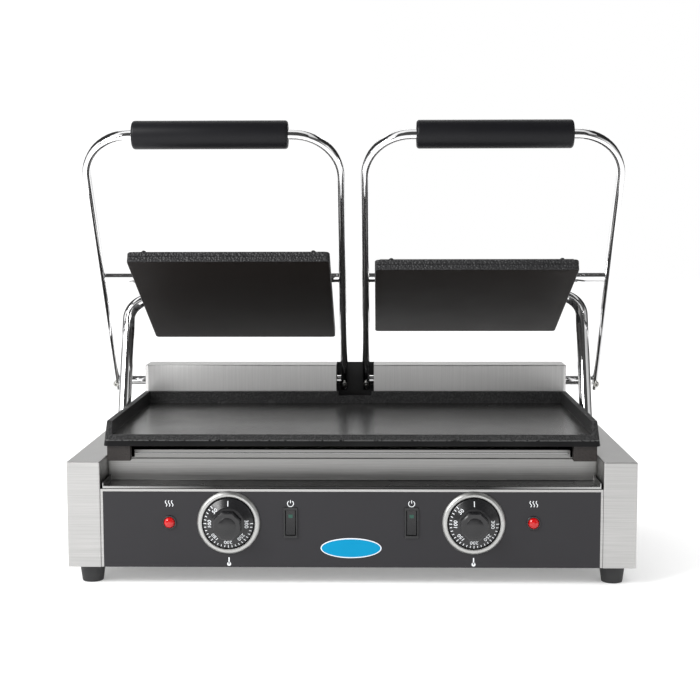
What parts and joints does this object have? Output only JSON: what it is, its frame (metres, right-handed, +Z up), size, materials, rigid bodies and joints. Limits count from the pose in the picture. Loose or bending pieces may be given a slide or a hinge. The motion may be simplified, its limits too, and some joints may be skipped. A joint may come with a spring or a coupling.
{
  "type": "contact grill",
  "caption": "Countertop contact grill: long flat lower plate on a stainless base, upper plates on hinged U-shaped handles, thermostat knobs, rocker switches and pilot lamps.",
  "frame": {"origin": "on the table, under the middle of the whole width and depth, handles up", "axes": "+X to the cook's right along the width, +Y to the rear, +Z up"},
  "size_m": [0.5692, 0.3182, 0.461],
  "materials": {
    "brushed_stainless": "brushed stainless sheet, fine vertical grain",
    "inner_steel": "plain zinc-coated sheet",
    "chrome_bar": "polished chrome",
    "cast_iron": "seasoned dark cast iron, satin",
    "fascia_film": "satin dark grey printed film",
    "knob_plastic": "black moulded thermoset, semi-gloss",
    "grip_plastic": "black moulded plastic, satin",
    "black_plastic": "black moulded plastic",
    "control_plastic": "moulded insulator",
    "satin_ring": "satin aluminium",
    "red_lens": "clear red lens",
    "blue_badge": "gloss blue with a pale rim",
    "foot_rubber": "black rubber",
    "zinc_steel": "zinc-plated",
    "element_steel": "oxidised sheath",
    "spring_steel": "oiled spring steel",
    "bronze": "sintered bronze"
  },
  "bodies": {
    "base": {"base_pan": "inner_steel", "left_side_casing": "brushed_stainless", "right_side_casing": "brushed_stainless", "front_panel": "brushed_stainless", "panel_fascia": "fascia_film", "top_deck": "brushed_stainless", "rear_panel": "brushed_stainless", "lower_plate": "cast_iron", "lower_heating_elements": "element_steel", "lower_clamp_plates": "inner_steel", "lower_plate_bolts": "zinc_steel", "hinge_housing": "brushed_stainless", "bearing_blocks": "inner_steel", "shaft_bushes": "bronze", "counterbalance_springs": "spring_steel", "thermostats": "control_plastic", "dial_bezels": "satin_ring", "pilot_lamp_holders": "black_plastic", "pilot_lenses": "red_lens", "switch_housings": "black_plastic", "badge_plate": "blue_badge", "rubber_feet": "foot_rubber", "foot_screws": "zinc_steel", "terminal_block": "control_plastic", "cable_gland": "black_plastic", "conduit_grommets": "foot_rubber"},
    "tray": {"drip_tray": "brushed_stainless"},
    "left_handle": {"left_handle_bar": "chrome_bar", "left_hinge_shaft": "chrome_bar", "left_crossbar": "chrome_bar", "left_grip": "grip_plastic", "left_leg_set_screws": "zinc_steel"},
    "left_platen": {"left_platen_casting": "cast_iron", "left_platen_cover": "brushed_stainless", "left_platen_element": "element_steel", "left_platen_clamp_plate": "inner_steel", "left_platen_studs": "zinc_steel", "left_pivot_brackets": "inner_steel", "left_conduit_tube": "chrome_bar", "left_conduit_nut": "zinc_steel"},
    "left_dial": {"left_knob": "knob_plastic", "left_knob_spindle": "zinc_steel"},
    "left_switch": {"left_rocker": "black_plastic"},
    "right_handle": {"right_handle_bar": "chrome_bar", "right_hinge_shaft": "chrome_bar", "right_crossbar": "chrome_bar", "right_grip": "grip_plastic", "right_leg_set_screws": "zinc_steel"},
    "right_platen": {"right_platen_casting": "cast_iron", "right_platen_cover": "brushed_stainless", "right_platen_element": "element_steel", "right_platen_clamp_plate": "inner_steel", "right_platen_studs": "zinc_steel", "right_pivot_brackets": "inner_steel", "right_conduit_tube": "chrome_bar", "right_conduit_nut": "zinc_steel"},
    "right_dial": {"right_knob": "knob_plastic", "right_knob_spindle": "zinc_steel"},
    "right_switch": {"right_rocker": "black_plastic"}
  },
  "joints": [
    {"name": "tray_slide", "type": "slide", "parent": "base", "child": "tray", "axis": [0, -1, 0], "range_m": [0, 0.035]},
    {"name": "left_handle_hinge", "type": "hinge", "parent": "base", "child": "left_handle", "pos_m": [-0.0127, 0.13509, 0.171], "axis": [1, 0, 0], "range_deg": [0, 54.89]},
    {"name": "left_platen_level", "type": "hinge", "parent": "left_handle", "child": "left_platen", "pos_m": [-0.1283, 0.05762, 0.29475], "axis": [1, 0, 0], "range_deg": [-27.99, 0]},
    {"name": "left_dial_turn", "type": "hinge", "parent": "base", "child": "left_dial", "pos_m": [-0.1205, -0.14029, 0.0628], "axis": [0, 1, 0], "range_deg": [0, 270]},
    {"name": "left_switch_rock", "type": "hinge", "parent": "base", "child": "left_switch", "pos_m": [-0.0595, -0.13829, 0.0628], "axis": [1, 0, 0], "range_deg": [0, 16]},
    {"name": "right_handle_hinge", "type": "hinge", "parent": "base", "child": "right_handle", "pos_m": [0.0127, 0.13509, 0.171], "axis": [1, 0, 0], "range_deg": [0, 54.89]},
    {"name": "right_platen_level", "type": "hinge", "parent": "right_handle", "child": "right_platen", "pos_m": [0.1283, 0.05762, 0.29475], "axis": [1, 0, 0], "range_deg": [-32.49, 0]},
    {"name": "right_dial_turn", "type": "hinge", "parent": "base", "child": "right_dial", "pos_m": [0.1205, -0.14029, 0.0628], "axis": [0, 1, 0], "range_deg": [0, 270]},
    {"name": "right_switch_rock", "type": "hinge", "parent": "base", "child": "right_switch", "pos_m": [0.0595, -0.13829, 0.0628], "axis": [1, 0, 0], "range_deg": [0, 16]}
  ],
  "couplings": [
    {"joint": "left_platen_level", "follows": "left_handle_hinge", "ratio": -0.50991},
    {"joint": "right_platen_level", "follows": "right_handle_hinge", "ratio": -0.59189}
  ]
}
